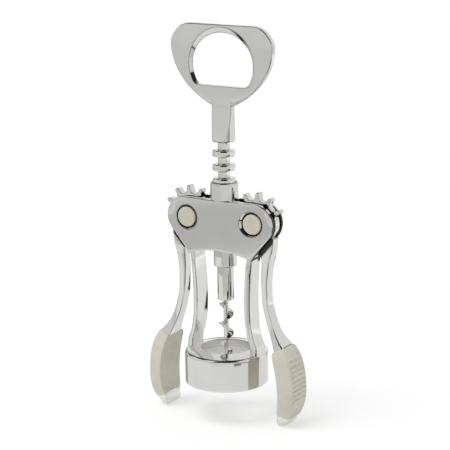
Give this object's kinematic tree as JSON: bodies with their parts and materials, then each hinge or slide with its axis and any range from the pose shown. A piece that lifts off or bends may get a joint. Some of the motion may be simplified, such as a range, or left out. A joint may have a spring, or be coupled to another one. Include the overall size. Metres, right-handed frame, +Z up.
{
  "type": "winged corkscrew",
  "caption": "Winged corkscrew with geared levers on a round-toothed rack, an auger worm, a bell for the bottle's mouth and a bottle-opener handle.",
  "frame": {"origin": "on the spindle's axis, level with the flat tips of the two levers on which the tool stands with its levers down", "axes": "+Z up along the spindle towards the opener handle, +X to the right lever, -Y to the front plate"},
  "size_m": [0.0836, 0.041, 0.1937],
  "materials": {
    "chrome": "polished, satin-bright",
    "steel": "bright, plain",
    "cream_plastic": "fine matte grain",
    "cream_cap": "satin"
  },
  "bodies": {
    "stand": {"frame": "chrome", "bell_ring": "chrome", "left_pivot_pin": "steel", "right_pivot_pin": "steel", "left_pin_clip": "steel", "right_pin_clip": "steel", "left_front_cap": "cream_cap", "right_front_cap": "cream_cap", "left_back_cap": "cream_cap", "right_back_cap": "cream_cap"},
    "right_wing": {"right_lever": "chrome", "right_grip": "cream_plastic"},
    "left_wing": {"left_lever": "chrome", "left_grip": "cream_plastic"},
    "rack": {"rack_sleeve": "chrome"},
    "screw": {"opener_handle": "chrome", "spindle": "steel", "worm_holder": "chrome", "worm": "steel"}
  },
  "joints": [
    {"name": "right_lever_pivot", "type": "hinge", "parent": "stand", "child": "right_wing", "pos_m": [0.0184, 0, 0.0994], "axis": [0, -1, 0], "range_deg": [0, 145]},
    {"name": "left_lever_pivot", "type": "hinge", "parent": "stand", "child": "left_wing", "pos_m": [-0.0184, 0, 0.0994], "axis": [0, 1, 0], "range_deg": [0, 145]},
    {"name": "rack_slide", "type": "slide", "parent": "stand", "child": "rack", "axis": [0, 0, 1], "range_m": [-0.0352, 0]},
    {"name": "screw_turn", "type": "hinge", "parent": "rack", "child": "screw", "pos_m": [0, 0, 0.12], "axis": [0, 0, 1], "continuous": true}
  ],
  "couplings": [
    {"joint": "left_lever_pivot", "follows": "right_lever_pivot", "ratio": 1},
    {"joint": "rack_slide", "follows": "right_lever_pivot", "m_per_rad": -0.01355}
  ]
}
